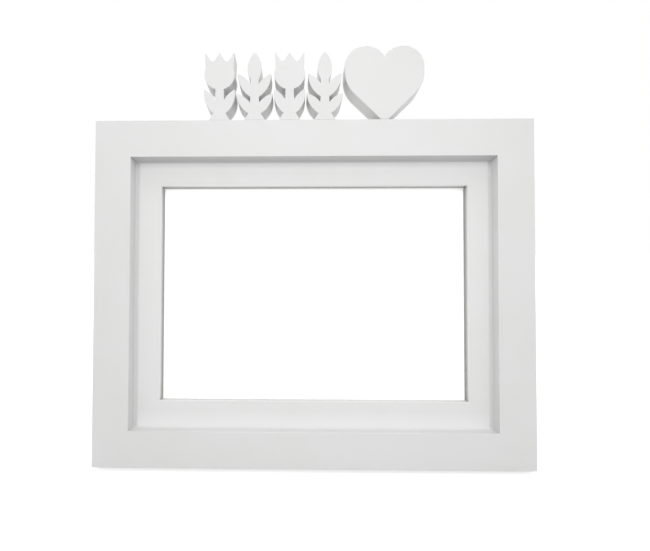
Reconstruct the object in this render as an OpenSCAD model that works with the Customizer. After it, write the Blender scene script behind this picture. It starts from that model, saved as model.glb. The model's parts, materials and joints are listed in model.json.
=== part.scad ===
// Tabletop photo frame of white painted board. Four mitred rails hold a stepped slip, the pane and the
// print. Cut-out ornaments stand along the top rail, and an easel leg folds out from the back.
// Sizes are in millimetres. The frame is drawn upright, front face at y = 0, and then leaned back.

/* [Print and window] */
// Width of the print
print_w = 180; // [140:1:220]
// Height of the print
print_h = 130; // [100:1:160]
// How far the print and the pane lap behind the slip on each side
lap = 6.5; // [4:0.5:9]
// Thickness of the print on its thin card
print_t = 0.3; // [0.2:0.1:1]
// Thickness of the glass pane
pane_t = 1; // [1:0.5:3]
// Thickness of the filler card that packs the pocket
filler_t = 2.2; // [0.8:0.1:3]
// Thickness of the backing board
back_t = 3; // [2:0.5:4]

/* [Slip] */
// Width of the slip that shows at the left and right of the window
slip_side_w = 13.5; // [8:0.5:25]
// Width of the slip that shows above and below the window
slip_end_w = 14.5; // [8:0.5:25]
// Thickness of the slip at the window
slip_lip_t = 5.5; // [3:0.5:8]

/* [Rails] */
// Width of each rail's flat front face
face_w = 19; // [17:0.5:26]
// Depth of the step from the front face down to the slip
recess_d = 9; // [6:0.5:13]
// Width of the rebate behind the front face
rebate_w = 8; // [6:0.5:9]
// Size of the small flat that eases the front edges
ease = 0.5; // [0.2:0.1:1]
// Width of the flat planed under the bottom rail to stand on
stand_w = 6; // [3:0.5:9]
// Length of each arm of the bent nails across the mitres
nail_arm = 3.6; // [2.5:0.1:4]
// How far each arm of a nail bends away from square
nail_bend = 1.2; // [0.8:0.1:1.6]
// Thickness of the nails
nail_t = 0.7; // [0.5:0.1:1]
// Depth of the nails in the wood
nail_len = 8; // [6:0.5:10]

/* [Ornaments] */
// Thickness of the board the ornaments are cut from
crest_t = 12; // [8:0.5:16]
// Gap between neighbouring ornaments
crest_gap = 1; // [0.5:0.1:3]
// Shift of the row of ornaments to the right of the middle
crest_shift = 0.6; // [-5:0.1:5]
// Height of the plants
plant_h = 36.5; // [30:0.5:42]
// Width of the tulips
tulip_w = 16.2; // [13:0.2:19]
// Height of a tulip's petals above the middle of its bowl
petal_h = 12; // [9:0.5:14]
// Depth of the notches between the petals
petal_notch = 6; // [4:0.5:8]
// Height of the tulips' leaves
tulip_leaf_h = 16.5; // [12:0.5:19]
// Width of the sprigs
sprig_w = 19.2; // [15:0.2:23]
// Width of the leaf at the top of a sprig
top_leaf_w = 7.4; // [6:0.2:9]
// Width of the side leaves of both plants
leaf_w = 5.2; // [4:0.2:6]
// Width of the plants' stems
stem_w = 5; // [4:0.2:6]
// Width of the flared foot of a stem
stem_foot_w = 11.2; // [8:0.2:14]
// Height of the flare
stem_flare_h = 5; // [3:0.5:8]
// Width of the heart
heart_w = 42; // [36:0.5:48]
// Height of the heart
heart_h = 39.6; // [34:0.2:44]
// Radius of the heart's two upper lobes
lobe_r = 11.2; // [10.5:0.1:13]
// Radius of the fuller arcs below the lobes
heart_side_r = 16; // [14:0.5:18]
// How far the middle of those arcs lies below the middle of the lobes
heart_side_drop = 3.1; // [1:0.1:4]
// Width of the heart's foot on the rail
heart_foot_w = 4; // [3.2:0.1:6]
// Diameter of the steel pins that hold the ornaments
crest_pin_d = 2; // [1.5:0.1:2.4]
// Length of those pins, half in the rail
crest_pin_len = 18; // [12:1:22]

/* [Turn buttons] */
// Distance of the top and bottom buttons from the middle
button_x = 62; // [35:1:80]
// Width of a button's round end, on its screw
button_d = 8; // [7:0.5:10]
// Width of a button's arm
button_arm_w = 5; // [4:0.5:6]
// Width of a button's round tip
button_tip_d = 6; // [6:0.5:8]
// Reach of a button from its screw to its tip
button_reach = 15; // [13:0.5:18]
// Thickness of the sheet steel of the buttons and the leg's bracket
sheet_t = 1; // [0.8:0.1:1.2]
// Diameter of the screw shanks
screw_d = 2.9; // [2.2:0.1:3.5]
// Length of the screws under the head
screw_len = 10; // [8:0.5:11]
// Length of the screws' points
screw_point = 0.8; // [0.5:0.1:1.5]
// Diameter of the screw heads
screw_head_d = 5.6; // [4.5:0.1:6.5]
// Height of the screw heads
screw_head_h = 1.5; // [1:0.1:2]

/* [Easel leg] */
// Angle the frame leans back by
lean_angle = 12; // [8:0.5:16]
// Height of the leg's hinge above the frame's underside
hinge_h = 118; // [95:1:135]
// Diameter of the hinge pin
hinge_d = 3; // [2:0.1:3.5]
// Height of the peened head at each end of the hinge pin
hinge_head_h = 1; // [0.6:0.1:1.5]
// Thickness of the leg
leg_t = 6; // [5:0.5:8]
// Width of the leg at the hinge
leg_head_w = 20; // [16:0.5:21]
// Length of the leg above the hinge pin
leg_heel = 8; // [6:0.5:9]
// Length of the leg's parallel neck below the hinge pin
leg_neck = 12; // [11:0.5:18]
// Width of the leg at its foot
leg_foot_w = 44; // [30:1:60]
// Gap from the folded leg to the bracket's plate
leg_gap = 1.2; // [1:0.1:2]
// Height of the bracket's plate
plate_h = 28; // [24:0.5:34]
// Width of the bracket's flange outside each ear
flange_w = 10; // [8:0.5:14]
// Width of an ear round the hinge pin
ear_w = 12; // [10:0.5:14]
// How far an ear widens to each side at the plate
ear_spread = 3; // [1:0.5:4]
// How far the ears reach past the hinge pin
ear_over = 4; // [3.5:0.5:6]
// Cut at the corners of an ear
ear_corner = 2; // [1:0.5:3]
// Diameter of the rivets
rivet_d = 3; // [2:0.1:3.5]
// Diameter of the rivet heads
rivet_head_d = 5; // [4.5:0.1:6]
// Height of the rivet heads
rivet_head_h = 0.9; // [0.6:0.1:1]
// Distance between the upper and the lower rivets
rivet_span = 18; // [14:0.5:20]

/* [Fits] */
// Side clearance of the loose pieces in the rebate and the pocket
loose_fit = 0.3; // [0.1:0.05:0.6]
// Radial clearance of pins, screws, nails and rivets
pin_fit = 0.05; // [0.02:0.01:0.1]
// Clearance above and below a turn button
turn_fit = 0.05; // [0.02:0.01:0.1]
// Side clearance of the leg between the bracket's ears
ear_fit = 0.5; // [0.3:0.1:0.8]
// Gap left where the leg meets its stop
stop_gap = 0.02; // [0.01:0.01:0.1]

/* [Hidden] */
$fn = 64;

// Extra length of a cutting shape past the face that it cuts
past = 1;

window_w = print_w - 2 * lap;
window_h = print_h - 2 * lap;
frame_w = window_w + 2 * (slip_side_w + face_w);
frame_h = window_h + 2 * (slip_end_w + face_w);
mid_z = frame_h / 2;

// Where each layer of the stack starts, from the front
pane_y = recess_d + slip_lip_t;
print_y = pane_y + pane_t;
filler_y = print_y + print_t;
back_y = filler_y + filler_t;
rail_d = back_y + back_t;

rail_back_w = face_w - rebate_w;
slip_w = frame_w - 2 * (rail_back_w + loose_fit);
slip_h = frame_h - 2 * (rail_back_w + loose_fit);

// Ornament middles, from the left: tulip, sprig, tulip, sprig, heart
crest_w = [tulip_w, sprig_w, tulip_w, sprig_w, heart_w];
crest_row = 2 * tulip_w + 2 * sprig_w + heart_w + 4 * crest_gap;
function crest_before(i) = i == 0 ? 0 : crest_before(i - 1) + crest_w[i - 1] + crest_gap;
function crest_x(i) = crest_shift - crest_row / 2 + crest_before(i) + crest_w[i] / 2;

// Turn button screws sit in the middle of each rail's back: place across, place up, the way it points
button_in = rail_back_w / 2;
button_places = [
    [-button_x, frame_h - button_in, 180],
    [button_x, frame_h - button_in, 180],
    [-button_x, button_in, 0],
    [button_x, button_in, 0],
    [button_in - frame_w / 2, mid_z, 90],
    [frame_w / 2 - button_in, mid_z, -90]];

// The bracket is riveted to the board, and the hinge pin runs through its two ears
plate_y = rail_d + sheet_t;
hinge_y = plate_y + leg_gap + leg_t / 2;
ear_in = leg_head_w / 2 + ear_fit;
ear_out = ear_in + sheet_t;
plate_w = 2 * (ear_out + flange_w);
rivet_x = ear_out + flange_w / 2;

// The frame stands on its planed flat and on the leg, which opens to twice the lean
open_angle = 2 * lean_angle;
leg_slope = open_angle - lean_angle;
flat_y = rail_d - stand_w;
hinge_back = (hinge_y - flat_y) * cos(lean_angle) + hinge_h * sin(lean_angle);
hinge_up = hinge_h * cos(lean_angle) - (hinge_y - flat_y) * sin(lean_angle);
leg_len = hinge_up / cos(leg_slope);
front_edge = ease * sin(lean_angle) - flat_y * cos(lean_angle);
foot_edge = hinge_back + hinge_up * tan(leg_slope) + leg_t / 2 / cos(leg_slope);
footprint_mid = (front_edge + foot_edge) / 2;

paint = [0.93, 0.93, 0.92];
steel = [0.72, 0.73, 0.74];

// Leans the upright frame back and puts the middle of its footprint on the origin.
module lean() {
    translate([0, -footprint_mid, 0])
        rotate([-lean_angle, 0, 0])
            translate([0, -flat_y, 0])
                children();
}

// Everything below the table top, to cut the standing faces level.
module below_table() {
    translate([-frame_w, -frame_w, -frame_h])
        cube([2 * frame_w, 2 * frame_w, frame_h]);
}

// Draws a flat outline in the frame's plane between two depths.
module slab(y0, y1) {
    translate([0, y1, 0])
        rotate([90, 0, 0])
            linear_extrude(height = y1 - y0)
                children();
}

// One rail lying along the bottom: the L section swept, then cut to a mitre at both ends.
module rail(len) {
    tip = face_w + past;
    intersection() {
        translate([-len / 2, 0, 0])
            rotate([90, 0, 90])
                linear_extrude(height = len)
                    polygon([[0, ease], [ease, 0], [rail_d, 0], [rail_d, rail_back_w],
                        [recess_d, rail_back_w], [recess_d, face_w], [ease, face_w], [0, face_w - ease]]);
        slab(-past, rail_d + past)
            polygon([[-len / 2, 0], [len / 2, 0], [len / 2 - tip, tip], [tip - len / 2, tip]]);
    }
}

// Turns a bottom rail about the frame's middle onto another side.
module onto_side(angle, half) {
    translate([0, 0, mid_z])
        rotate([0, angle, 0])
            translate([0, 0, -half])
                children();
}

// A bent steel nail across each mitre, seen from the back, with its bend on the mitre line.
module nails(fit, y0, y1) {
    arm = nail_arm + fit;
    thick = nail_t + 2 * fit;
    bend = rail_back_w / sqrt(2) - nail_bend / 2 - fit;
    for (sx = [0, 1]) {
        for (sz = [0, 1]) {
            translate([0, 0, mid_z])
                mirror([sx, 0, 0])
                    mirror([0, 0, sz])
                        translate([-frame_w / 2, 0, -mid_z])
                            slab(y0, y1)
                                rotate(45)
                                    polygon([[bend, 0], [bend + nail_bend, arm],
                                        [bend + nail_bend + thick, arm], [bend + thick, 0],
                                        [bend + nail_bend + thick, -arm], [bend + nail_bend, -arm]]);
        }
    }
}

module nail_slots() {
    nails(pin_fit, rail_d - nail_len - pin_fit, rail_d + past);
}

// Holes in the rails for the turn buttons' screws.
module screw_holes() {
    for (place = button_places) {
        translate([place[0], rail_d - screw_len - screw_point, place[1]])
            rotate([-90, 0, 0])
                cylinder(d = screw_d + 2 * pin_fit, h = screw_len + screw_point + past);
    }
}

// Upright pins through the foot of each ornament into the top rail, or their holes.
module crest_rods(fit) {
    half = crest_pin_len / 2 + fit;
    for (i = [0:4]) {
        translate([crest_x(i), crest_t / 2, frame_h - half])
            cylinder(d = crest_pin_d + 2 * fit, h = 2 * half);
    }
}

module top_rail() {
    color(paint)
        lean()
            difference() {
                onto_side(180, mid_z)
                    rail(frame_w);
                nail_slots();
                screw_holes();
                crest_rods(pin_fit);
            }
}

module bottom_rail() {
    color(paint)
        difference() {
            lean()
                difference() {
                    rail(frame_w);
                    nail_slots();
                    screw_holes();
                }
            below_table();
        }
}

module stile(angle) {
    color(paint)
        difference() {
            lean()
                difference() {
                    onto_side(angle, frame_w / 2)
                        rail(frame_h);
                    nail_slots();
                    screw_holes();
                }
            below_table();
        }
}

module left_stile() {
    stile(90);
}

module right_stile() {
    stile(-90);
}

// A flat sheet centred behind the window.
module sheet(w, h, y0, y1) {
    translate([-w / 2, y0, mid_z - h / 2])
        cube([w, y1 - y0, h]);
}

// One length of the slip: a board with the window in front and the pane's deeper pocket behind, cut
// from two of its outer corners to the window's corners.
module slip_length(outer, inner) {
    color(paint)
        lean()
            intersection() {
                difference() {
                    sheet(slip_w, slip_h, recess_d, back_y);
                    sheet(window_w, window_h, recess_d - past, back_y + past);
                    sheet(print_w + 2 * loose_fit, print_h + 2 * loose_fit, pane_y, back_y + past);
                }
                slab(recess_d - past, back_y + past)
                    translate([0, mid_z])
                        polygon([outer[0], outer[1], inner[1], inner[0]]);
            }
}

// The corner of a board of width w and height h, for signs -1 or 1.
function corner(w, h, sx, sz) = [sx * w / 2, sz * h / 2];

module slip_across(sz) {
    slip_length([corner(slip_w, slip_h, -1, sz), corner(slip_w, slip_h, 1, sz)],
        [corner(window_w, window_h, -1, sz), corner(window_w, window_h, 1, sz)]);
}

module slip_upright(sx) {
    slip_length([corner(slip_w, slip_h, sx, -1), corner(slip_w, slip_h, sx, 1)],
        [corner(window_w, window_h, sx, -1), corner(window_w, window_h, sx, 1)]);
}

module slip_top() {
    slip_across(1);
}

module slip_bottom() {
    slip_across(-1);
}

module slip_left() {
    slip_upright(-1);
}

module slip_right() {
    slip_upright(1);
}

module corner_nails() {
    color(steel)
        lean()
            nails(0, rail_d - nail_len, rail_d - loose_fit);
}

// Cuts one flat piece of an ornament from its board.
module cut() {
    slab(0, crest_t)
        children();
}

// A pointed leaf from one point to another: the lens where two equal circles cross.
module leaf(base, tip, w) {
    run = tip - base;
    l = norm(run);
    r = (l * l + w * w) / (4 * w);
    cut()
        translate(base)
            rotate(atan2(run[1], run[0]) - 90)
                intersection() {
                    translate([r - w / 2, l / 2])
                        circle(r);
                    translate([w / 2 - r, l / 2])
                        circle(r);
                }
}

// A stem with a flared foot, a little narrower at the top.
module stem(top) {
    half = stem_w / 2;
    foot = stem_foot_w / 2;
    cut()
        polygon([[-foot, 0], [foot, 0], [half, stem_flare_h], [0.85 * half, top],
            [-0.85 * half, top], [-half, stem_flare_h]]);
}

// Tulip: a round bowl with three petals, a stem, and a leaf on each side.
module tulip() {
    bowl_r = tulip_w / 2;
    bowl_z = plant_h - petal_h;
    root = [0.9 * bowl_r, bowl_z - 0.3 * bowl_r];
    notch = [0.46 * bowl_r, plant_h - petal_notch];
    tip = [0.97 * bowl_r, plant_h];
    cut()
        translate([0, bowl_z])
            circle(bowl_r);
    cut()
        polygon([root, tip, notch, [0, plant_h], [-notch[0], notch[1]], [-tip[0], tip[1]],
            [-root[0], root[1]]]);
    stem(bowl_z - bowl_r / 2);
    for (s = [-1, 1]) {
        leaf([s * stem_w / 4, stem_flare_h / 2], [s * bowl_r, tulip_leaf_h], leaf_w);
    }
}

// Sprig: a stem with one leaf at the top and two pairs at the sides, the lower pair the wider.
module sprig() {
    half = sprig_w / 2;
    stem(0.64 * plant_h);
    leaf([0, 0.52 * plant_h], [0, plant_h], top_leaf_w);
    for (s = [-1, 1]) {
        leaf([0, 0.31 * plant_h], [s * 0.92 * half, 0.68 * plant_h], leaf_w);
        leaf([0, 0.06 * plant_h], [s * half, 0.39 * plant_h], leaf_w);
    }
}

// Heart: two round lobes, short upright sides, fuller arcs below them, and straight flanks that leave
// those arcs at a tangent and run to a small foot.
module heart_board() {
    lobe_x = heart_w / 2 - lobe_r;
    lobe_z = heart_h - lobe_r;
    side_x = heart_w / 2 - heart_side_r;
    side_z = lobe_z - heart_side_drop;
    foot_in = side_x - heart_foot_w / 2;
    meet_angle = atan2(side_z, -foot_in) - acos(heart_side_r / norm([foot_in, side_z]));
    meet = [side_x + heart_side_r * cos(meet_angle), side_z - heart_side_r * sin(meet_angle)];
    for (s = [-1, 1]) {
        cut()
            translate([s * lobe_x, lobe_z])
                circle(lobe_r);
        cut()
            intersection() {
                translate([s * side_x, side_z])
                    circle(heart_side_r);
                translate([-heart_w / 2, 0])
                    square([heart_w, side_z]);
            }
    }
    cut()
        translate([-heart_w / 2, side_z])
            square([heart_w, heart_side_drop]);
    cut()
        polygon([[-heart_foot_w / 2, 0], [heart_foot_w / 2, 0], meet, [0, side_z], [-meet[0], meet[1]]]);
}

// Stands an ornament in its place on the top rail, front faces flush, and bores it for its pin.
module on_top(i) {
    color(paint)
        lean()
            difference() {
                translate([crest_x(i), 0, frame_h])
                    children();
                crest_rods(pin_fit);
            }
}

module tulip_left() {
    on_top(0)
        tulip();
}

module sprig_left() {
    on_top(1)
        sprig();
}

module tulip_right() {
    on_top(2)
        tulip();
}

module sprig_right() {
    on_top(3)
        sprig();
}

module heart() {
    on_top(4)
        heart_board();
}

module crest_pins() {
    color(steel)
        lean()
            crest_rods(0);
}

module pane() {
    color([0.85, 0.92, 0.92, 0.4])
        lean()
            sheet(print_w, print_h, pane_y, print_y);
}

module print_card() {
    color([0.97, 0.97, 0.96])
        lean()
            sheet(print_w, print_h, print_y, filler_y);
}

module filler_card() {
    color([0.75, 0.72, 0.66])
        lean()
            sheet(print_w, print_h, filler_y, back_y);
}

// Runs its children square to the back at each of the four rivets.
module at_rivets(y) {
    for (sx = [-1, 1]) {
        for (sz = [-1, 1]) {
            translate([sx * rivet_x, y, hinge_h + sz * rivet_span / 2])
                rotate([-90, 0, 0])
                    children();
        }
    }
}

module rivet_holes() {
    at_rivets(back_y - past)
        cylinder(d = rivet_d + 2 * pin_fit, h = back_t + sheet_t + 2 * past);
}

module backing_board() {
    color([0.45, 0.33, 0.22])
        lean()
            difference() {
                sheet(slip_w, slip_h, back_y, rail_d);
                rivet_holes();
            }
}

// A flat steel button: a round end on the screw, a narrower arm, and a round tip over the board.
module button(i) {
    place = button_places[i];
    tip = button_reach - button_tip_d / 2;
    color(steel)
        lean()
            translate([place[0], rail_d + turn_fit, place[1]])
                rotate([0, place[2], 0])
                    slab(0, sheet_t)
                        difference() {
                            union() {
                                circle(d = button_d);
                                translate([-button_arm_w / 2, 0])
                                    square([button_arm_w, tip]);
                                translate([0, tip])
                                    circle(d = button_tip_d);
                            }
                            circle(d = screw_d + 2 * pin_fit);
                        }
}

module button_top_left() {
    button(0);
}

module button_top_right() {
    button(1);
}

module button_bottom_left() {
    button(2);
}

module button_bottom_right() {
    button(3);
}

module button_left() {
    button(4);
}

module button_right() {
    button(5);
}

// Pan-head screws that hold the turn buttons, with a little play under each head.
module button_screws() {
    color(steel)
        lean()
            for (place = button_places) {
                translate([place[0], rail_d + sheet_t + 2 * turn_fit, place[1]])
                    rotate([-90, 0, 0]) {
                        cylinder(d1 = screw_head_d, d2 = 0.8 * screw_head_d, h = screw_head_h);
                        translate([0, 0, -screw_len])
                            cylinder(d = screw_d, h = screw_len + screw_head_h / 2);
                        translate([0, 0, -screw_len - screw_point])
                            cylinder(d1 = screw_d / 3, d2 = screw_d, h = screw_point);
                    }
            }
}

// U-shaped sheet bracket: a plate riveted to the board and two ears that carry the hinge pin.
module leg_bracket() {
    half = ear_w / 2;
    ear_y = hinge_y + ear_over;
    color(steel)
        lean()
            difference() {
                union() {
                    translate([-plate_w / 2, rail_d, hinge_h - plate_h / 2])
                        cube([plate_w, sheet_t, plate_h]);
                    for (x = [-ear_out, ear_in]) {
                        translate([x, 0, hinge_h])
                            rotate([90, 0, 90])
                                linear_extrude(height = sheet_t)
                                    polygon([[plate_y - sheet_t / 2, -half - ear_spread],
                                        [hinge_y - leg_gap, -half], [ear_y - ear_corner, -half],
                                        [ear_y, ear_corner - half], [ear_y, half - ear_corner],
                                        [ear_y - ear_corner, half], [hinge_y - leg_gap, half],
                                        [plate_y - sheet_t / 2, half + ear_spread]]);
                    }
                }
                translate([-plate_w / 2, hinge_y, hinge_h])
                    rotate([0, 90, 0])
                        cylinder(d = hinge_d + 2 * pin_fit, h = plate_w);
                rivet_holes();
            }
}

module bracket_rivets() {
    grip = back_t + sheet_t;
    color(steel)
        lean()
            at_rivets(back_y) {
                cylinder(d = rivet_d, h = grip + rivet_head_h / 2);
                translate([0, 0, grip])
                    cylinder(d1 = rivet_head_d, d2 = 0.7 * rivet_head_d, h = rivet_head_h);
            }
}

// The hinge pin, peened to a head outside each ear.
module hinge_pin() {
    color(steel)
        lean()
            translate([0, hinge_y, hinge_h])
                rotate([0, 90, 0]) {
                    translate([0, 0, -ear_out - hinge_head_h / 2])
                        cylinder(d = hinge_d, h = 2 * ear_out + hinge_head_h);
                    for (side = [0, 1]) {
                        mirror([0, 0, side])
                            translate([0, 0, ear_out])
                                cylinder(d1 = hinge_d + 2, d2 = hinge_d + 1, h = hinge_head_h);
                    }
                }
}

// The leg as a flat board, hanging straight down from its hinge pin.
module leg_board() {
    head = leg_head_w / 2;
    foot = leg_foot_w / 2;
    reach = leg_len + leg_t;
    difference() {
        slab(-leg_t / 2, leg_t / 2)
            polygon([[-head, leg_heel], [head, leg_heel], [head, -leg_neck], [foot, -reach],
                [-foot, -reach], [-head, -leg_neck]]);
        translate([-leg_head_w, 0, 0])
            rotate([0, 90, 0])
                cylinder(d = hinge_d + 2 * pin_fit, h = 2 * leg_head_w);
    }
}

// The leg swung open. Its heel is bevelled flat against the bracket's plate, which stops it there, and
// its foot is cut level with the table.
module easel_leg() {
    color(paint)
        difference() {
            lean()
                difference() {
                    translate([0, hinge_y, hinge_h])
                        rotate([open_angle, 0, 0])
                            leg_board();
                    translate([-leg_head_w, plate_y + stop_gap - rail_d, hinge_h - leg_neck])
                        cube([2 * leg_head_w, rail_d, leg_neck + 2 * leg_heel]);
                }
            below_table();
        }
}

top_rail();
bottom_rail();
left_stile();
right_stile();
slip_top();
slip_bottom();
slip_left();
slip_right();
corner_nails();
tulip_left();
sprig_left();
tulip_right();
sprig_right();
heart();
crest_pins();
pane();
print_card();
filler_card();
backing_board();
button_top_left();
button_top_right();
button_bottom_left();
button_bottom_right();
button_left();
button_right();
button_screws();
leg_bracket();
bracket_rivets();
hinge_pin();
easel_leg();
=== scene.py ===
"""Looks of a white tabletop photo frame: sprayed boards, glass, paper, and the steel on its back."""
import json
import math

import bmesh
import bpy
import numpy as np
from mathutils import Matrix, Vector


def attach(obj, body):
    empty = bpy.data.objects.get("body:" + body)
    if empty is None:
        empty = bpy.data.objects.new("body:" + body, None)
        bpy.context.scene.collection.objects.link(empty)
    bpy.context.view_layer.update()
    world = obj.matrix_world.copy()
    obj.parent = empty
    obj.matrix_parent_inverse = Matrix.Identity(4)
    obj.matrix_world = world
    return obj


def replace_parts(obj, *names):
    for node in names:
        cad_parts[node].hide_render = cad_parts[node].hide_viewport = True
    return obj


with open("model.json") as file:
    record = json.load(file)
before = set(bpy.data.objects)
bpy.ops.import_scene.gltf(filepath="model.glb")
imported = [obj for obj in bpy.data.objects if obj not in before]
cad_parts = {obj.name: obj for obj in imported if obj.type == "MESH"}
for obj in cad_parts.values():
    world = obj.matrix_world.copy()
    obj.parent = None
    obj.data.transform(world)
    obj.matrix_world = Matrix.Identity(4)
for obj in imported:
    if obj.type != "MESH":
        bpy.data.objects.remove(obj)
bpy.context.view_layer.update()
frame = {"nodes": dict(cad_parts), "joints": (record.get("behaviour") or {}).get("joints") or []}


# Rails and stiles: four lengths of milled board, mitred, glued, nailed from behind and sprayed together.
# The spray rounds every edge a little and hides the mitres, so the four read as one frame.

MM = 0.001


def lean_of_frame():
    """The angle by which the frame leans back, read from the way a turn button's axis tips."""
    axis = next(j["axis"] for j in frame["joints"] if j["name"] == "button_left_turn")
    return math.atan2(-axis[2], axis[1])


LEAN = lean_of_frame()


def leaned(points):
    """Turns upright points (across, back, up) about the X axis by the lean, into the frame's place."""
    x, y, z = np.moveaxis(np.asarray(points, float), -1, 0)
    return np.stack([x, y * math.cos(LEAN) + z * math.sin(LEAN),
                     z * math.cos(LEAN) - y * math.sin(LEAN)], -1)


def turned_upright(points):
    """Points of the standing frame turned back upright: the opposite turn of leaned()."""
    x, y, z = np.moveaxis(np.asarray(points, float), -1, 0)
    return np.stack([x, y * math.cos(LEAN) - z * math.sin(LEAN),
                     z * math.cos(LEAN) + y * math.sin(LEAN)], -1)


def upright(node):
    """A node's points, turned upright."""
    mesh = frame["nodes"][node].data
    flat = np.empty(3 * len(mesh.vertices))
    mesh.vertices.foreach_get("co", flat)
    return turned_upright(flat.reshape(-1, 3))


def upright_box(*nodes):
    """Lowest and highest upright corner of some nodes together."""
    points = np.concatenate([upright(n) for n in nodes])
    return points.min(0), points.max(0)


def linear(hex_colour):
    """An sRGB hex colour as linear red, green, blue and alpha."""
    srgb = np.array([int(hex_colour[i:i + 2], 16) for i in (1, 3, 5)]) / 255
    light = np.where(srgb <= 0.04045, srgb / 12.92, ((srgb + 0.055) / 1.055) ** 2.4)
    return (*light, 1.0)


def add(holder, kind, links=None, stops=(), **settings):
    """Adds one shader node to a material or a world. Settings name its properties or sockets, links join
    its sockets to others, and stops give a colour ramp its places and hex colours."""
    node = holder.node_tree.nodes.new("ShaderNode" + kind)
    for name, value in settings.items():
        if hasattr(node, name):
            setattr(node, name, value)
        else:
            node.inputs[name.replace("_", " ")].default_value = value
    for name, source in (links or {}).items():
        holder.node_tree.links.new(source, node.inputs[name])
    for i, (place, colour) in enumerate(stops):
        node.color_ramp.elements[i].position = place
        node.color_ramp.elements[i].color = linear(colour)
    return node


def new_material(name):
    """An empty node material and its output."""
    material = bpy.data.materials.new(name)
    material.use_nodes = True
    material.node_tree.nodes.clear()
    return material, add(material, "OutputMaterial")


# Sprayed white lacquer on board: satin, almost smooth, with the faint ripple that spray leaves.
LACQUER_WHITE = "#e4e4e4"
LACQUER_SHADE = "#e2e2e1"
LACQUER_ROUGHNESS = (0.42, 0.52)
LACQUER_IOR = 1.5
CLOUD_SIZE = 30 * MM
CLOUD_BAND = (0.35, 0.65)
RIPPLE_SIZE = 2.2 * MM
RIPPLE_DEPTH = 0.004 * MM


def sprayed_lacquer(name, white, shade, *turns):
    """Two near whites in wide clouds, satin gloss, and a fine ripple in the surface. Each turn takes the
    paint over to another colour, along one axis of the upright frame and between two places on it."""
    material, output = new_material(name)
    place = add(material, "TexCoord").outputs["Object"]
    clouds = add(material, "TexNoise", {"Vector": place}, Scale=1 / CLOUD_SIZE, Detail=3.0)
    colour = add(material, "ValToRGB", {"Fac": clouds.outputs["Fac"]}, zip(CLOUD_BAND, (shade, white)))
    paint = colour.outputs["Color"]
    upright_place = add(material, "Mapping", {"Vector": place}, Rotation=(LEAN, 0.0, 0.0))
    axes = add(material, "SeparateXYZ", {"Vector": upright_place.outputs["Vector"]})
    for axis, start, end, other in turns:
        share = add(material, "MapRange", {"Value": axes.outputs[axis]}, From_Min=start, From_Max=end)
        paint = add(material, "MixRGB", {"Fac": share.outputs["Result"], "Color1": paint},
                    Color2=linear(other)).outputs["Color"]
    ripple = add(material, "TexNoise", {"Vector": place}, Scale=1 / RIPPLE_SIZE, Detail=2.0)
    bump = add(material, "Bump", {"Height": ripple.outputs["Fac"]}, Distance=RIPPLE_DEPTH)
    gloss = add(material, "MapRange", {"Value": ripple.outputs["Fac"]},
                To_Min=LACQUER_ROUGHNESS[0], To_Max=LACQUER_ROUGHNESS[1])
    skin = add(material, "BsdfPrincipled", {"Base Color": paint, "Roughness": gloss.outputs["Result"],
                                            "Normal": bump.outputs["Normal"]}, IOR=LACQUER_IOR)
    material.node_tree.links.new(skin.outputs["BSDF"], output.inputs["Surface"])
    return material


lacquer = sprayed_lacquer("sprayed_white_lacquer", LACQUER_WHITE, LACQUER_SHADE)


ARC_STEPS = 6
FLAT_BESIDE = 0.15
SHARP_ANGLE = math.radians(35)


def arc_corner(before, corner, after, radius):
    """Points that round a corner: an arc that touches both sides, and one more point on each flat, a
    share of the radius further out, which keeps the flat's shading flat."""
    a, b = (np.array(p, float) - corner for p in (before, after))
    a, b = a / np.linalg.norm(a), b / np.linalg.norm(b)
    half = math.acos(np.clip(a @ b, -1, 1)) / 2
    reach = radius / math.tan(half)
    middle = corner + (a + b) / np.linalg.norm(a + b) * radius / math.sin(half)
    start, end = corner + a * reach - middle, corner + b * reach - middle
    turn = math.pi - 2 * half
    t = np.linspace(0, 1, ARC_STEPS + 1)[:, None]
    arc = middle + (start * np.sin((1 - t) * turn) + end * np.sin(t * turn)) / math.sin(turn)
    beside = FLAT_BESIDE * radius
    return np.vstack([corner + a * (reach + beside), arc, corner + b * (reach + beside)])


def rounded_outline(corners):
    """A closed outline from (across, along, radius) corners: round ones become arcs, sharp ones stay."""
    flat = np.array([c[:2] for c in corners], float)
    points = []
    for i, (_, _, radius) in enumerate(corners):
        if radius:
            points.append(arc_corner(flat[i - 1], flat[i], flat[(i + 1) % len(flat)], radius))
        else:
            points.append(flat[i][None])
    return np.vstack(points)


def new_piece(name, points, faces, material, body="frame"):
    """A mesh piece that rides on a body, smooth over its rounds and sharp at its edges."""
    mesh = bpy.data.meshes.new(name)
    mesh.from_pydata(np.asarray(points, float).reshape(-1, 3), [], faces)
    mesh.polygons.foreach_set("use_smooth", np.ones(len(mesh.polygons), bool))
    mesh.set_sharp_from_angle(angle=SHARP_ANGLE)
    mesh.materials.append(material)
    piece = bpy.data.objects.new(name, mesh)
    bpy.context.scene.collection.objects.link(piece)
    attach(piece, body)
    return piece


def strip_faces(rows, columns):
    """The four-sided faces of a closed strip: rows round the outline, columns along the path."""
    i, j = np.meshgrid(np.arange(rows), np.arange(columns - 1), indexing="ij")
    k = (i + 1) % rows
    return np.stack([i * columns + j, i * columns + j + 1, k * columns + j + 1, k * columns + j],
                    -1).reshape(-1, 4).tolist()


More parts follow.
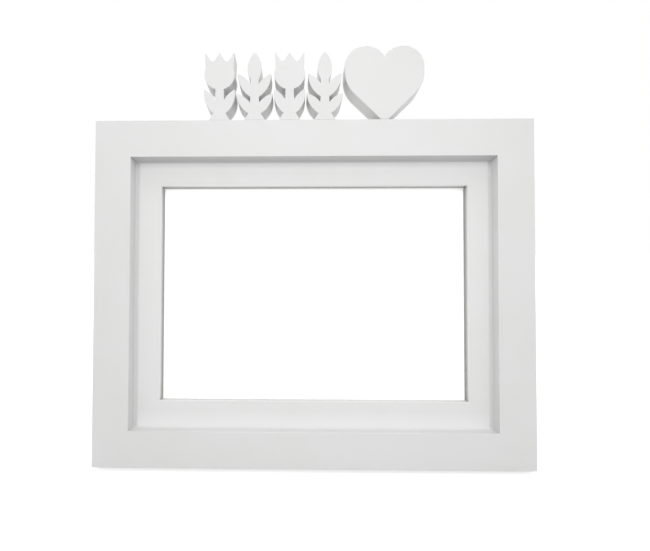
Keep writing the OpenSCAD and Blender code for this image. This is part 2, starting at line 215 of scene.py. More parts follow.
rails_low, rails_high = upright_box("top_rail", "bottom_rail", "left_stile", "right_stile")
RAIL_DEPTH = rails_high[1] - rails_low[1]
FACE_W = np.ptp(upright("left_stile")[:, 0])
RECESS = upright_box("slip_top")[0][1] - rails_low[1]
REBATE_W = 8 * MM
REBATE_AT = FACE_W - REBATE_W
STAND_W = 6 * MM
STAND_FROM = RAIL_DEPTH - STAND_W
STAND_RISE = STAND_W * math.tan(LEAN)
FRONT_ROUND = 0.25 * MM
BACK_ROUND = 0.4 * MM
TOP_FACE_MORE = 0.5 * MM
NEAR = 0.001 * MM
QUARTERS = {"bottom_rail": 0, "right_stile": 1, "top_rail": 2, "left_stile": 3}

# The same lacquer on the walls of the step, darker there as painted shade in the recess, and darker still
# as painted shade on the top wall, which faces down.
STEP_PAINTED_SHADE_WHITE = "#dadada"
STEP_PAINTED_SHADE_TONE = "#d8d8d7"
UNDER_WALL_PAINTED_SHADE = "#c4c4c4"
UNDER_WALL_SHADE_BAND = (1.2 * MM, 0.2 * MM)
TOP_WALL = rails_high[2] - FACE_W - TOP_FACE_MORE
painted_shade_under_top = ("Z", TOP_WALL - UNDER_WALL_SHADE_BAND[0], TOP_WALL - UNDER_WALL_SHADE_BAND[1], UNDER_WALL_PAINTED_SHADE)
step_lacquer_with_painted_shade = sprayed_lacquer("lacquer_with_painted_shade_on_step", STEP_PAINTED_SHADE_WHITE, STEP_PAINTED_SHADE_TONE, painted_shade_under_top)


def rail_outline(planed):
    """The L section as (depth, inward): rounded at the front and back edges, square in the rebate. The
    planed one has its lower back corner cut off level with the table."""
    heel = [(RAIL_DEPTH, STAND_RISE, BACK_ROUND)] if planed else [(RAIL_DEPTH, STAND_RISE, 0),
                                                                  (RAIL_DEPTH, 0, BACK_ROUND)]
    return rounded_outline([
        (0, 0, FRONT_ROUND), (0, FACE_W, FRONT_ROUND), (RECESS, FACE_W, 0), (RECESS, REBATE_AT, 0),
        (RAIL_DEPTH, REBATE_AT, BACK_ROUND), *heel, (STAND_FROM, 0, 0)])


def rail_piece(node, quarter):
    """The section carried straight from mitre to mitre, then turned by quarters to its side of the
    frame. A point lies as far short of the corner as it lies inward, and the top face is a little wider.
    A stile's foot is planed level too: what would reach below the table is raised to it, and that part
    of its mitre is a face of its own."""
    section = rail_outline(planed=quarter == 0)
    middle = (rails_low + rails_high) / 2
    half = (rails_high - rails_low) / 2
    length, reach = (half[0], half[2]) if quarter % 2 == 0 else (half[2], half[0])
    along = np.array([-1.0, 1.0]) * (length - section[:, 1:2])
    outward = np.broadcast_to(section[:, 1:2] - reach, along.shape)
    turned = (along + 1j * outward) * 1j ** quarter
    back = np.broadcast_to(rails_low[1] + section[:, 0:1], along.shape)
    wider = TOP_FACE_MORE * ((turned.imag > 0) & (section[:, 1:2] > REBATE_AT + NEAR))
    up = np.maximum(middle[2] + turned.imag - wider, back * math.tan(LEAN))
    points = leaned(np.stack([middle[0] + turned.real, back, up], -1))
    rows = len(section)
    rings = [np.arange(rows)]
    if quarter % 2:
        planed = (section[:, 1] < STAND_RISE + NEAR) & (section[:, 0] > STAND_FROM - NEAR)
        low = np.flatnonzero(planed)
        rings = [low, np.r_[0:low[0] + 1, low[-1]:rows]]
    caps = [(ring * 2 + end)[::step].tolist() for ring in rings for end, step in ((0, 1), (1, -1))]
    board = new_piece(node + "_board", points, strip_faces(rows, 2) + caps, lacquer)
    # The step's walls take the lacquer with painted shade.
    board.data.materials.append(step_lacquer_with_painted_shade)
    on_wall = section[:, 1] > FACE_W - NEAR
    wall_faces = np.r_[on_wall & np.roll(on_wall, -1), np.zeros(len(caps), bool)]
    board.data.polygons.foreach_set("material_index", wall_faces.astype(np.int32))
    return board


rails = {}
for node, quarter in QUARTERS.items():
    rails[node] = rail_piece(node, quarter)
    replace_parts(rails[node], node)


# Corner nails: bent strips of spring steel, driven across each mitre from behind and sunk a little.
# Their slots are cut into the boards' backs first, so each nail shows as a thin bright angle.

NAIL_BLUE = "#8b8e92"
NAIL_GREY = "#b9bbbd"
NAIL_ROUGHNESS = (0.24, 0.4)
MILL_LINE = 0.4 * MM
MILL_DRAW = 0.08


def rolled_steel():
    """Bare rolled steel: a grey metal with fine lines from the rolling mill, drawn out upwards."""
    material, output = new_material("bright_rolled_steel")
    place = add(material, "TexCoord").outputs["Object"]
    drawn = add(material, "Mapping", {"Vector": place}, Scale=(1.0, 1.0, MILL_DRAW)).outputs["Vector"]
    lines = add(material, "TexNoise", {"Vector": drawn}, Scale=1 / MILL_LINE, Detail=4.0)
    colour = add(material, "ValToRGB", {"Fac": lines.outputs["Fac"]}, [(0, NAIL_BLUE), (1, NAIL_GREY)])
    gloss = add(material, "MapRange", {"Value": lines.outputs["Fac"]},
                To_Min=NAIL_ROUGHNESS[0], To_Max=NAIL_ROUGHNESS[1])
    skin = add(material, "BsdfPrincipled", {"Base Color": colour.outputs["Color"],
                                            "Roughness": gloss.outputs["Result"]}, Metallic=1.0)
    material.node_tree.links.new(skin.outputs["BSDF"], output.inputs["Surface"])
    return material


bright_steel = rolled_steel()


def finish_node(node, material):
    """Gives a CAD node that keeps its own shape a better material."""
    for held in frame["nodes"][node].material_slots:
        held.material = material


WELD_GAP = 0.002 * MM
FLAT_ANGLE = math.radians(0.5)


def merged_copy(node):
    """A new mesh of a node's solid: its loose triangles joined at their corners and merged into flats.
    The normals that came with the triangles don't fit the merged faces, so they go."""
    mesh = bpy.data.meshes.new(node + "_copy")
    solid = bmesh.new()
    solid.from_mesh(frame["nodes"][node].data)
    bmesh.ops.remove_doubles(solid, verts=solid.verts, dist=WELD_GAP)
    bmesh.ops.dissolve_limit(solid, angle_limit=FLAT_ANGLE, verts=solid.verts, edges=solid.edges)
    solid.to_mesh(mesh)
    solid.free()
    mesh.attributes.remove(mesh.attributes["custom_normal"])
    mesh.materials.clear()
    mesh.polygons.foreach_set("material_index", np.zeros(len(mesh.polygons), np.int32))
    return mesh


NAIL_END = 1 * MM


def nail_cutter():
    """The nails themselves with their sunk ends drawn out past the boards' backs."""
    mesh = merged_copy("corner_nails")
    flat = np.empty(3 * len(mesh.vertices))
    mesh.vertices.foreach_get("co", flat)
    shape = turned_upright(flat.reshape(-1, 3))
    sunk = shape[:, 1] > shape[:, 1].max() - NAIL_END
    shape[sunk, 1] = rails_high[1] + NAIL_END
    mesh.vertices.foreach_set("co", leaned(shape).ravel())
    cutter = bpy.data.objects.new("nail_cutter", mesh)
    bpy.context.scene.collection.objects.link(cutter)
    return cutter


def cut_with(pieces, cutter):
    """Takes the cutter's shape out of each piece for good, and removes the cutter."""
    for piece in pieces:
        slot = piece.modifiers.new("slots", "BOOLEAN")
        slot.operation = "DIFFERENCE"
        slot.solver = "EXACT"
        slot.object = cutter
        cut = bpy.data.meshes.new_from_object(piece.evaluated_get(bpy.context.evaluated_depsgraph_get()))
        piece.modifiers.clear()
        piece.data = cut
        cut.set_sharp_from_angle(angle=SHARP_ANGLE)
    bpy.data.objects.remove(cutter)


cut_with(rails.values(), nail_cutter())
finish_node("corner_nails", bright_steel)


# Slip: four thinner lengths, mitred round the window and sprayed with the rails, a step below the face.
# Behind the window's edge each is rebated to hold the glass and the print.

slip_low, slip_high = upright_box("slip_top", "slip_bottom", "slip_left", "slip_right")
pane_low, pane_high = upright_box("pane")
POCKET_EASE = 0.3 * MM
PRINT_LAP = np.array([6.3, 0, 6.4]) * MM
SIDE_SLOPE = 0.55 * MM
WINDOW_ROUND = 0.5 * MM
WINDOW_SHIFT = np.array([0.85, 0, 0.6]) * MM
SLIP_WHITE = "#eaeaea"
SLIP_SHADE = "#e8e8e7"
SLIP_QUARTERS = {"slip_bottom": 0, "slip_right": 1, "slip_top": 2, "slip_left": 3}

# The same lacquer with painted light and shade: a whiter painted light low and high on the slip, and a
# grey painted shade beside the left and right walls. Each band gives two distances from its wall: where
# the change begins, and where it is complete.
PAINTED_LIGHT_WHITE = "#f5f5f5"
PAINTED_SHADE_BESIDE_WALLS = "#d4d4d4"
LOW_PAINTED_LIGHT_BAND = (9.5 * MM, 1 * MM)
HIGH_PAINTED_LIGHT_BAND = (6 * MM, 1.5 * MM)
LEFT_PAINTED_SHADE_BAND = (2.8 * MM, 1.2 * MM)
RIGHT_PAINTED_SHADE_BAND = (2 * MM, 1 * MM)
LOW_WALL = rails_low[2] + FACE_W
LEFT_WALL = rails_low[0] + FACE_W
RIGHT_WALL = rails_high[0] - FACE_W
painted_light_and_shade = [("Z", LOW_WALL + LOW_PAINTED_LIGHT_BAND[0], LOW_WALL + LOW_PAINTED_LIGHT_BAND[1], PAINTED_LIGHT_WHITE),
         ("Z", TOP_WALL - HIGH_PAINTED_LIGHT_BAND[0], TOP_WALL - HIGH_PAINTED_LIGHT_BAND[1], PAINTED_LIGHT_WHITE),
         ("X", LEFT_WALL + LEFT_PAINTED_SHADE_BAND[0], LEFT_WALL + LEFT_PAINTED_SHADE_BAND[1], PAINTED_SHADE_BESIDE_WALLS),
         ("X", RIGHT_WALL - RIGHT_PAINTED_SHADE_BAND[0], RIGHT_WALL - RIGHT_PAINTED_SHADE_BAND[1], PAINTED_SHADE_BESIDE_WALLS)]

# On the window's narrow edge a grey painted shade darkens the lacquer. The lower edge faces up, towards
# the light, so its painted shade is lighter and ends sooner.
EDGE_PAINTED_SHADE = "#8f8e8c"
LOW_EDGE_PAINTED_SHADE = "#c3c3c1"
EDGE_START = 0.05 * MM
EDGE_SHADE_DEPTH = 3.4 * MM
LOW_EDGE_SHADE_DEPTH = 0.8 * MM


def slip_lacquer(name, edge, depth):
    """The slip's lacquer, with the painted shade on its window edge and the depth where that is reached.
    """
    shaded_edge = ("Y", slip_low[1] + EDGE_START, slip_low[1] + depth, edge)
    return sprayed_lacquer(name, SLIP_WHITE, SLIP_SHADE, *painted_light_and_shade, shaded_edge)


edge_shade_lacquer = slip_lacquer("lacquer_painted_shade_edge", EDGE_PAINTED_SHADE, EDGE_SHADE_DEPTH)
low_edge_shade_lacquer = slip_lacquer("lacquer_lighter_painted_shade_edge", LOW_EDGE_PAINTED_SHADE, LOW_EDGE_SHADE_DEPTH)


def slip_piece(node, quarter):
    """The stepped section carried between the lines that join the outer corners to the window's corners.
    The window's side edges slope in towards the glass. The inner points are shifted a little, because
    the window was cut a little off the middle."""
    middle = (pane_low + pane_high) / 2
    outer = (slip_high - slip_low) / 2
    window = (pane_high - pane_low) / 2 - PRINT_LAP
    pocket = (pane_high - pane_low) / 2 + POCKET_EASE
    x, z = (0, 2) if quarter % 2 == 0 else (2, 0)
    depth = slip_high[1] - slip_low[1]
    lip = pane_low[1] - slip_low[1]
    edge = outer[z] - window[z]
    slope = SIDE_SLOPE if quarter % 2 else 0
    section = rounded_outline([
        (0, 0, 0), (0, edge, WINDOW_ROUND), (lip, edge + slope, 0), (lip, outer[z] - pocket[z], 0),
        (depth, outer[z] - pocket[z], 0), (depth, 0, 0)])
    slant = (outer[x] - window[x]) / edge
    along = np.array([-1.0, 1.0]) * (outer[x] - slant * section[:, 1:2])
    outward = np.broadcast_to(section[:, 1:2] - outer[z], along.shape)
    turned = (along + 1j * outward) * 1j ** quarter
    back = np.broadcast_to(slip_low[1] + section[:, 0:1], along.shape)
    points = np.stack([middle[0] + turned.real, back, middle[2] + turned.imag], -1)
    points += WINDOW_SHIFT * (section[:, 1:2, None] > outer[z] - pocket[z] + NEAR)
    points = leaned(points)
    rows = len(section)
    ring = np.arange(rows) * 2
    caps = [ring.tolist(), (ring + 1)[::-1].tolist()]
    # The lower slip's edge gets the lighter painted shade, the other three the darker one.
    paint = low_edge_shade_lacquer if quarter == 0 else edge_shade_lacquer
    return new_piece(node + "_board", points, strip_faces(rows, 2) + caps, paint)


for node, quarter in SLIP_QUARTERS.items():
    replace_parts(slip_piece(node, quarter), node)


# Corner filler: a bead of fine filler where the slip meets the rails, drawn hollow with a fingertip.
# It closes the joint before the frame is sprayed, so the corner shows soft and without a gap.

FILLER_ROUND = 1.6 * MM
FILLER_SUNK = 0.05 * MM
FILLER_TURN = 0.3 * FILLER_ROUND
HOLLOW_STEPS = 12

# The same lacquer, which goes from the wall's painted shade over to the slip's white within the hollow
# and takes on the slip's painted light and shade. At the low wall and under the top one it keeps the
# wall's painted shade, whatever the slip's coat does.
to_slip = ("Y", slip_low[1] - FILLER_TURN, slip_low[1], SLIP_WHITE)
to_low_wall = ("Z", LOW_WALL + FILLER_ROUND, LOW_WALL, STEP_PAINTED_SHADE_WHITE)
filler_lacquer = sprayed_lacquer("sprayed_lacquer_in_hollow", STEP_PAINTED_SHADE_WHITE, STEP_PAINTED_SHADE_TONE, to_slip, *painted_light_and_shade,
                                 to_low_wall, painted_shade_under_top)


def corner_filler():
    """A hollow quarter round carried round the recess and mitred at its corners. A point that lies
    further from the wall moves both half sizes of its ring in by the same amount."""
    t = np.linspace(0, math.pi / 2, HOLLOW_STEPS + 1)
    hollow = FILLER_ROUND * np.stack([1 - np.sin(t), 1 - np.cos(t)], -1)
    inside = [(-FILLER_SUNK, FILLER_ROUND), (-FILLER_SUNK, -FILLER_SUNK), (FILLER_ROUND, -FILLER_SUNK)]
    section = np.vstack([hollow, inside])
    middle = (rails_low + rails_high) / 2
    half = (rails_high - rails_low) / 2 - FACE_W
    side = np.array([[-1, -1], [1, -1], [1, 1], [-1, 1]])
    x = middle[0] + side[:, 0] * (half[0] - section[:, 0:1])
    z = middle[2] + side[:, 1] * (half[2] - section[:, 0:1]) - TOP_FACE_MORE * (side[:, 1] > 0)
    y = np.broadcast_to(rails_low[1] + RECESS - section[:, 1:2], x.shape)
    points = leaned(np.stack([x, y, z], -1))
    here = np.arange(x.size).reshape(x.shape)
    ahead, beside = np.roll(here, -1, 0), np.roll(here, -1, 1)
    faces = np.stack([here, ahead, np.roll(ahead, -1, 1), beside], -1).reshape(-1, 4).tolist()
    return new_piece("corner_filler", points, faces, filler_lacquer)


corner_filler()


# Ornaments: a heart and four plants sawn from thick board, sanded round at the edges and sprayed.
# Each stands on a steel pin in the top rail, its face flush with the frame's.

CREST_ROUND = 0.5 * MM
ROUND_STEPS = 3


def eased_copy(node, radius, material, body="frame", clamped=True):
    """A copy of a node's solid with its sharp edges rounded. Clamped rounds shrink where edges lie close
    together."""
    mesh = merged_copy(node)
    mesh.materials.append(material)
    mesh.polygons.foreach_set("use_smooth", np.ones(len(mesh.polygons), bool))
    piece = bpy.data.objects.new(node + "_eased", mesh)
    bpy.context.scene.collection.objects.link(piece)
    ease = piece.modifiers.new("eased edges", "BEVEL")
    ease.width = radius
    ease.segments = ROUND_STEPS
    ease.limit_method = "ANGLE"
    ease.angle_limit = SHARP_ANGLE
    ease.harden_normals = True
    ease.use_clamp_overlap = clamped
    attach(piece, body)
    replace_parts(piece, node)
    return piece


for node in ("tulip_left", "sprig_left", "tulip_right", "sprig_right", "heart"):
    eased_copy(node, CREST_ROUND, lacquer)

finish_node("crest_pins", bright_steel)


# Pane: a sheet of clear float glass in the slip's pocket, in front of the print.
# It is smooth and flat. The light goes straight through it, less what its face mirrors.

GLASS_TINT = "#ffffff"
GLASS_IOR = 1.52
GLASS_ROUGHNESS = 0.02


def float_glass():
    """Clear sheet glass: see-through, with a mirror share that grows as it is seen more aslant. Only the
    face that the light meets first mirrors, so light on its way out isn't held back."""
    material, output = new_material("clear_float_glass")
    mirror = add(material, "Fresnel", IOR=GLASS_IOR)
    inside = add(material, "NewGeometry").outputs["Backfacing"]
    share = add(material, "MapRange", {"Value": inside, "To Min": mirror.outputs["Fac"]}, To_Max=0.0)
    clear = add(material, "BsdfTransparent", Color=linear(GLASS_TINT))
    shine = add(material, "BsdfGlossy", Roughness=GLASS_ROUGHNESS)
    both = add(material, "MixShader", {"Fac": share.outputs["Result"], 1: clear.outputs["BSDF"],
                                       2: shine.outputs["BSDF"]})
    material.node_tree.links.new(both.outputs["Shader"], output.inputs["Surface"])
    return material


finish_node("pane", float_glass())


# Print: a plain sheet of bright white photo paper on thin card, pressed towards the glass.
# The paper's coating is smooth, with a trace of fibre under it.

PAPER_WHITE = "#ffffff"
PAPER_SHADE = "#fcfcfc"
PAPER_ROUGHNESS = (0.55, 0.7)
PAPER_SPECULAR = 0.3
FIBRE_SIZE = 0.6 * MM
# A painted glow of the paper's own, which fills the shade near its edges.
PAPER_GLOW = 0.48
PAPER_GAP = 0.04 * MM
PAPER_BOW = 0.03 * MM
SHEET_COLUMNS = 24
SHEET_ROWS = 18


def photo_paper():
    """Bright coated white with faint fibres that show only as a change of gloss. It also glows a little,
    as painted light, though it is no lamp, so it looks whiter than the paint beside it, right up to its
    edges, where shade would fall."""
    material, output = new_material("coated_white_paper")
    place = add(material, "TexCoord").outputs["Object"]
    fibres = add(material, "TexNoise", {"Vector": place}, Scale=1 / FIBRE_SIZE, Detail=4.0)
    colour = add(material, "ValToRGB", {"Fac": fibres.outputs["Fac"]},
                 [(0, PAPER_SHADE), (1, PAPER_WHITE)])
    gloss = add(material, "MapRange", {"Value": fibres.outputs["Fac"]},
                To_Min=PAPER_ROUGHNESS[0], To_Max=PAPER_ROUGHNESS[1])
    skin = add(material, "BsdfPrincipled", {"Base Color": colour.outputs["Color"],
                                            "Roughness": gloss.outputs["Result"]},
               Specular_IOR_Level=PAPER_SPECULAR, Emission_Color=linear(PAPER_WHITE),
               Emission_Strength=PAPER_GLOW)
    material.node_tree.links.new(skin.outputs["BSDF"], output.inputs["Surface"])
    return material


def grid_faces(columns, rows):
    """The four-sided faces of a grid, numbered column by column."""
    i, j = np.meshgrid(np.arange(columns - 1), np.arange(rows - 1), indexing="ij")
    corner = (i * rows + j).ravel()
    return np.stack([corner, corner + rows, corner + rows + 1, corner + 1], -1)


def grid_rim(columns, rows):
    """The numbers of the points once round the edge of such a grid."""
    return np.r_[np.arange(columns) * rows, (columns - 1) * rows + np.arange(1, rows),
                 np.arange(columns - 2, -1, -1) * rows + rows - 1, np.arange(rows - 2, 0, -1)]


def paper_sheet():
    """A thin sheet on a grid over its face: it bows away from the glass as the product of two half
    sines, nothing at the edges and most in the middle. A second grid behind it closes the sheet."""
    low, high = upright_box("print_card")
    columns, rows = SHEET_COLUMNS + 1, SHEET_ROWS + 1
    across, up = np.meshgrid(np.linspace(0, 1, columns), np.linspace(0, 1, rows), indexing="ij")
    bow = PAPER_BOW * np.sin(math.pi * across) * np.sin(math.pi * up)
    x = low[0] + across * (high[0] - low[0])
    z = low[2] + up * (high[2] - low[2])
    front = np.stack([x, low[1] + PAPER_GAP + bow, z], -1)
    back = np.stack([x, np.full_like(x, high[1]), z], -1)
    quads = grid_faces(columns, rows)
    behind = quads[:, ::-1] + columns * rows
    edge = grid_rim(columns, rows)
    ahead = np.roll(edge, -1)
    rim = np.stack([edge, edge + columns * rows, ahead + columns * rows, ahead], -1)
    faces = np.vstack([quads, behind, rim]).tolist()
    return new_piece("print_sheet", leaned(np.stack([front, back])), faces, photo_paper())


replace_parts(paper_sheet(), "print_card")


# Filler: a sheet of greyboard, pressed from waste paper and cut to the size of the print.
# It packs the pocket behind the print and presses it to the glass.

BOARD_GREY = "#a8a195"
BOARD_DARK = "#8f887c"
BOARD_ROUGHNESS = 0.9
PULP_SIZE = 0.9 * MM
PULP_BAND = (0.35, 0.65)
PULP_TOOTH = 0.05 * MM


def greyboard():
    """Pressed pulp: specks of two tones, dull, with a fine tooth."""
    material, output = new_material("greyboard")
    place = add(material, "TexCoord").outputs["Object"]
    pulp = add(material, "TexNoise", {"Vector": place}, Scale=1 / PULP_SIZE, Detail=6.0).outputs["Fac"]
    colour = add(material, "ValToRGB", {"Fac": pulp}, zip(PULP_BAND, (BOARD_DARK, BOARD_GREY)))
    bump = add(material, "Bump", {"Height": pulp}, Distance=PULP_TOOTH)
    skin = add(material, "BsdfPrincipled", {"Base Color": colour.outputs["Color"],
                                            "Normal": bump.outputs["Normal"]}, Roughness=BOARD_ROUGHNESS)
    material.node_tree.links.new(skin.outputs["BSDF"], output.inputs["Surface"])
    return material


finish_node("filler_card", greyboard())


# Backing board: a sheet of brown hardboard that closes the back, its smooth pressed side out.
# It lies loose in the rebate, and the six turn buttons hold it there.

HARDBOARD_DARK = "#5a3d26"
HARDBOARD_LIGHT = "#7b5a3a"
HARDBOARD_ROUGHNESS = (0.38, 0.6)
HARDBOARD_IOR = 1.5
HARDBOARD_CLOUD = 3 * MM
TONE_BAND = (0.72, 1.28)
HAIR_SIZE = 0.35 * MM
HAIR_CURL = 1.5
HAIR_DEPTH = 0.02 * MM


def pressed_hardboard():
    """Wood fibre pressed hot against a polished plate: a dull shine, soft brown clouds, and short hairs
    of fibre in darker and lighter brown. The hairs are drawn a little coarser than they are, to show."""
    material, output = new_material("pressed_hardboard")
    place = add(material, "TexCoord").outputs["Object"]
    clouds = add(material, "TexNoise", {"Vector": place}, Scale=1 / HARDBOARD_CLOUD, Detail=3.0)
    hairs = add(material, "TexNoise", {"Vector": place}, Scale=1 / HAIR_SIZE, Detail=2.0,
                Distortion=HAIR_CURL)
    mixed = add(material, "Math", {0: clouds.outputs["Fac"], 1: hairs.outputs["Fac"]}, operation="ADD")
    tone = add(material, "MapRange", {"Value": mixed.outputs["Value"]},
               From_Min=TONE_BAND[0], From_Max=TONE_BAND[1])
    colour = add(material, "ValToRGB", {"Fac": tone.outputs["Result"]},
                 [(0, HARDBOARD_DARK), (1, HARDBOARD_LIGHT)])
    bump = add(material, "Bump", {"Height": hairs.outputs["Fac"]}, Distance=HAIR_DEPTH)
    gloss = add(material, "MapRange", {"Value": clouds.outputs["Fac"]},
                To_Min=HARDBOARD_ROUGHNESS[0], To_Max=HARDBOARD_ROUGHNESS[1])
    skin = add(material, "BsdfPrincipled", {"Base Color": colour.outputs["Color"],
                                            "Roughness": gloss.outputs["Result"],
                                            "Normal": bump.outputs["Normal"]}, IOR=HARDBOARD_IOR)
    material.node_tree.links.new(skin.outputs["BSDF"], output.inputs["Surface"])
    return material


finish_node("backing_board", pressed_hardboard())


# Turn buttons: flat steel stampings, zinc plated, each loose on its screw so that it swings aside.
# The punch leaves their edges a little rounded.

ZINC_DARK = "#9b9fa3"
ZINC_LIGHT = "#b4b8bb"
ZINC_ROUGHNESS = (0.24, 0.42)
ZINC_CLOUD = 2.5 * MM
ZINC_BAND = (0.3, 0.7)
GRAIN_SIZE = 0.25 * MM
GRAIN_DEPTH = 0.004 * MM
STAMPED_ROUND = 0.2 * MM


def zinc_plate():
    """Bright zinc plating: a cool grey metal with faint milky clouds, and a fine grain that scatters its
    shine."""
    material, output = new_material("zinc_plated_steel")
    place = add(material, "TexCoord").outputs["Object"]
    clouds = add(material, "TexNoise", {"Vector": place}, Scale=1 / ZINC_CLOUD, Detail=4.0)
    colour = add(material, "ValToRGB", {"Fac": clouds.outputs["Fac"]},
                 zip(ZINC_BAND, (ZINC_DARK, ZINC_LIGHT)))
    grain = add(material, "TexNoise", {"Vector": place}, Scale=1 / GRAIN_SIZE, Detail=2.0)
    gloss = add(material, "MapRange", {"Value": clouds.outputs["Fac"]},
                To_Min=ZINC_ROUGHNESS[0], To_Max=ZINC_ROUGHNESS[1])
    bump = add(material, "Bump", {"Height": grain.outputs["Fac"]}, Distance=GRAIN_DEPTH)
    skin = add(material, "BsdfPrincipled", {"Base Color": colour.outputs["Color"],
                                            "Roughness": gloss.outputs["Result"],
                                            "Normal": bump.outputs["Normal"]}, Metallic=1.0)
    material.node_tree.links.new(skin.outputs["BSDF"], output.inputs["Surface"])
    return material


zinc = zinc_plate()
for node in ("button_top_left", "button_top_right", "button_bottom_left", "button_bottom_right",
             "button_left", "button_right"):
    eased_copy(node, STAMPED_ROUND, zinc, node)


# Button screws: zinc plated pan-head screws with a cross recess, driven into the rails' backs.
# Each head stands a hair clear of its button, so the button can turn.

SCREW_HEAD_R = 2.8 * MM
SCREW_HEAD_H = 1.5 * MM
SCREW_RIM_H = 0.6 * MM
SCREW_R = 1.45 * MM
SCREW_LENGTH = 10 * MM
SCREW_POINT = 0.8 * MM
SCREW_POINT_R = SCREW_R / 3
CROSS_DEPTH = 0.9 * MM
CROSS_TURN = math.radians(37)

# Shares of the head's half width: the cross, and the grid lines from the head's middle to its rim.
CROSS_HALF = 0.16
CROSS_WALL = 0.02
CROSS_REACH = 0.62
HEAD_LINES = [0, CROSS_HALF / 2, CROSS_HALF, CROSS_HALF + CROSS_WALL, 0.32, 0.46, CROSS_REACH,
              0.76, 0.9, 1]


def cross_arm(along, beside):
    """One arm of the recess over the head's unit square: full depth in the middle, none at its reach."""
    depth = np.clip(1 - (along / CROSS_REACH) ** 2, 0, 1)
    return np.where(np.abs(beside) < CROSS_HALF + CROSS_WALL / 2, depth, 0)


def button_screw_set():
    """Each head is a square grid pressed to a disc: x is u times the root of 1 - v v / 2, and y the same
    with u and v swapped. Its height falls with the cube of the radius, less a cross. The grid's rim is
    carried down the head's side, in to the shank and along it to the point. Each has its own turn."""
    lines = np.r_[-np.array(HEAD_LINES[:0:-1]), HEAD_LINES]
    u, v = np.meshgrid(lines, lines, indexing="ij")
    x, y = u * np.sqrt(1 - v ** 2 / 2), v * np.sqrt(1 - u ** 2 / 2)
    dome = SCREW_HEAD_H - (SCREW_HEAD_H - SCREW_RIM_H) * np.hypot(x, y) ** 3
    top = dome - CROSS_DEPTH * np.maximum(cross_arm(u, v), cross_arm(v, u))
    rim = grid_rim(len(lines), len(lines))
    circle = (x + 1j * y).ravel()[rim]
    radius = np.array([SCREW_HEAD_R, SCREW_R, SCREW_R, SCREW_POINT_R])[:, None]
    level = np.array([0, 0, -SCREW_LENGTH, -SCREW_LENGTH - SCREW_POINT])
    flat = np.r_[(x + 1j * y).ravel() * SCREW_HEAD_R, (circle * radius).ravel()]
    out = np.r_[top.ravel(), np.repeat(level, len(rim))]
    loops = np.vstack([rim, np.arange(top.size, len(out)).reshape(-1, len(rim))])
    ahead = np.roll(loops, -1, 1)
    sides = np.stack([loops[:-1], loops[1:], ahead[1:], ahead[:-1]], -1).reshape(-1, 4)
    middles = turned_upright([j["pos_m"] for j in frame["joints"] if j["name"].startswith("button_")])
    count = np.arange(len(middles))[:, None]
    flat = flat * np.exp(1j * CROSS_TURN * count)
    seat = upright_box("button_screws")[1][1] - SCREW_HEAD_H
    back = np.broadcast_to(seat + out, flat.shape)
    points = np.stack([middles[:, 0:1] - flat.real, back, middles[:, 2:3] + flat.imag], -1)
    quads = np.vstack([grid_faces(len(lines), len(lines)), sides])
    faces = (quads + len(out) * count[:, :, None]).reshape(-1, 4).tolist()
    faces += (loops[-1][::-1] + len(out) * count).tolist()
    return new_piece("button_screw_set", leaned(points), faces, zinc)


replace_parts(button_screw_set(), "button_screws")


# Leg bracket, rivets and hinge pin: a plate and two ears of the same zinc plated sheet, bent to a U.
# Four rivets fix it through the board, and the pin is peened over outside each ear.

RIVET_ROUND = 0.35 * MM
eased_copy("leg_bracket", STAMPED_ROUND, zinc, clamped=False)
for node in ("bracket_rivets", "hinge_pin"):
    eased_copy(node, RIVET_ROUND, zinc)


# Easel leg: a tapering board of the same sprayed stock, hung on the hinge pin between the bracket's
# ears. Its heel and foot are planed at a slant, so it stops at the right angle and stands flat.

LEG_ROUND = 0.6 * MM
LEG_CREASE = math.radians(9)
leg = eased_copy("easel_leg", LEG_ROUND, lacquer, "leg", clamped=False)
leg.data.set_sharp_from_angle(angle=LEG_CREASE)


# Table, light and camera: a pale floor in an even white room, and three soft lamps, one close above the
# camera, one overhead and one high behind. The camera stands close, about square to the frame's face.

IMAGE_W = 650
IMAGE_H = 551
LENS_PX = 471.42
LENS_AXIS_PX = (284.57, 307.54)
CAMERA_TURN = (-1.425, 1.166, 0.137)
CAMERA_STEP = (14.436 * MM, 84.288 * MM, 245.221 * MM)
SENSOR_W = 36.0
NEAREST_SEEN = 10 * MM


def camera_place():
    """The camera's matrix. Turn and step carry the upright frame's points, measured from the middle of
    its bottom front edge, to the camera's own right, down and forward. The inverse stands the camera."""
    rx, ry, rz = (Matrix.Rotation(math.radians(a), 3, axis) for a, axis in zip(CAMERA_TURN, "XYZ"))
    swap = np.array([[1, 0, 0], [0, 0, -1], [0, 1, 0]])
    to_camera = np.array(rz @ ry @ rx) @ swap
    edge = np.array([(rails_low[0] + rails_high[0]) / 2, rails_low[1], rails_low[2]])
    stand = leaned(edge - to_camera.T @ np.array(CAMERA_STEP))
    right, down, ahead = leaned(to_camera)
    place = np.eye(4)
    place[:3, 0], place[:3, 1], place[:3, 2], place[:3, 3] = right, -down, -ahead, stand
    return Matrix(place)


lens = bpy.data.cameras.new("camera")
lens.sensor_width = SENSOR_W
lens.sensor_fit = "HORIZONTAL"
lens.lens = LENS_PX / IMAGE_W * SENSOR_W
lens.shift_x = (IMAGE_W / 2 - LENS_AXIS_PX[0]) / IMAGE_W
lens.shift_y = (LENS_AXIS_PX[1] - IMAGE_H / 2) / IMAGE_W
lens.clip_start = NEAREST_SEEN
camera = bpy.data.objects.new("camera", lens)
camera.matrix_world = camera_place()
bpy.context.scene.collection.objects.link(camera)
bpy.context.scene.camera = camera

FLOOR_SIZE = 3.0
FLOOR_GREY = "#d9d9d9"
FLOOR_LIFT = 0.65
FAR_LIFT = 0.8
FAR_FLOOR = 0.9


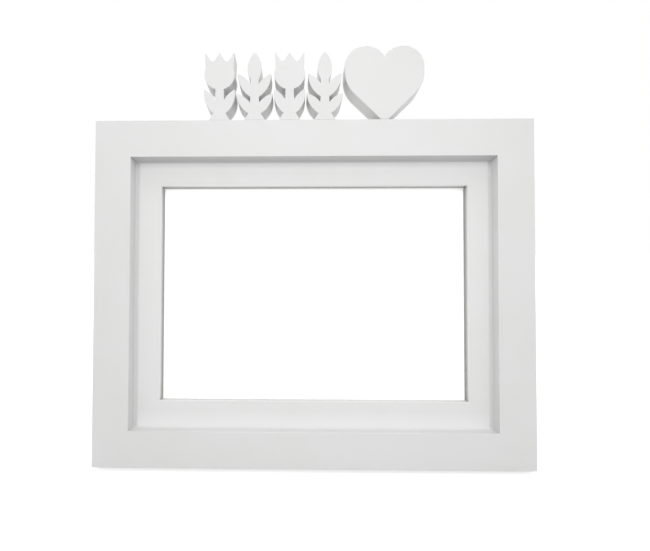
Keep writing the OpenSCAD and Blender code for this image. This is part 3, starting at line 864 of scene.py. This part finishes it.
def looked_at(holder):
    """One for rays from the camera, from a mirror or through glass, and nothing for those that carry
    light between matt surfaces."""
    path = add(holder, "LightPath")
    seen = add(holder, "Math", {0: path.outputs["Is Camera Ray"], 1: path.outputs["Is Glossy Ray"]},
               operation="MAXIMUM")
    return add(holder, "Math", {0: seen.outputs["Value"], 1: path.outputs["Is Transmission Ray"]},
               operation="MAXIMUM").outputs["Value"]


def pale_floor():
    """A pale floor for the object's light and shadow, lifted to white where the camera sees it lit, and
    more so further out, where less light falls."""
    material, output = new_material("pale_floor")
    matt = add(material, "BsdfDiffuse", Color=linear(FLOOR_GREY))
    place = add(material, "TexCoord").outputs["Object"]
    away = add(material, "VectorMath", {0: place}, operation="LENGTH")
    lift = add(material, "MapRange", {"Value": away.outputs["Value"]}, From_Max=FAR_FLOOR,
               To_Min=FLOOR_LIFT, To_Max=FAR_LIFT)
    shown = add(material, "Math", {0: looked_at(material), 1: lift.outputs["Result"]},
                operation="MULTIPLY")
    glow = add(material, "Emission", {"Strength": shown.outputs["Value"]})
    both = add(material, "AddShader", {0: matt.outputs["BSDF"], 1: glow.outputs["Emission"]})
    material.node_tree.links.new(both.outputs["Shader"], output.inputs["Surface"])
    return material


half = FLOOR_SIZE / 2
floor_mesh = bpy.data.meshes.new("floor")
floor_mesh.from_pydata([(-half, -half, 0), (half, -half, 0), (half, half, 0), (-half, half, 0)], [],
                       [(0, 1, 2, 3)])
floor_mesh.materials.append(pale_floor())
floor = bpy.data.objects.new("floor", floor_mesh)
bpy.context.scene.collection.objects.link(floor)

ROOM_LIGHT = 0.67


def white_room():
    """An even room that shows white wherever it is seen or mirrored, and gives matt surfaces a dimmer
    fill."""
    world = bpy.data.worlds.new("white_room")
    world.use_nodes = True
    world.node_tree.nodes.clear()
    level = add(world, "MapRange", {"Value": looked_at(world)}, To_Min=ROOM_LIGHT, To_Max=1.0)
    walls = add(world, "Background", {"Strength": level.outputs["Result"]}, Color=(1.0, 1.0, 1.0, 1.0))
    add(world, "OutputWorld", {"Surface": walls.outputs["Background"]})
    return world


LAMP_AIM = Vector((0.0, 0.0, 0.1))


def soft_box(name, place, width, watts):
    """A square soft lamp that faces the frame's middle."""
    panel = bpy.data.lights.new(name, "AREA")
    panel.size = width
    panel.energy = watts
    lamp = bpy.data.objects.new(name, panel)
    lamp.location = place
    lamp.rotation_euler = (Vector(place) - LAMP_AIM).to_track_quat("Z", "Y").to_euler()
    bpy.context.scene.collection.objects.link(lamp)
    return lamp


bpy.context.scene.world = white_room()
key = soft_box("key_lamp", place=(0.0, -0.274, 0.285), width=0.15, watts=0.33)
key.visible_glossy = False  # The glass shows the room, and no lamp.
soft_box("top_lamp", place=(0.0, -0.07, 0.897), width=0.5, watts=1.2)
soft_box("back_lamp", place=(0.0, 1.06, 1.16), width=0.5, watts=6.2)

bpy.context.scene.view_settings.view_transform = "Standard"
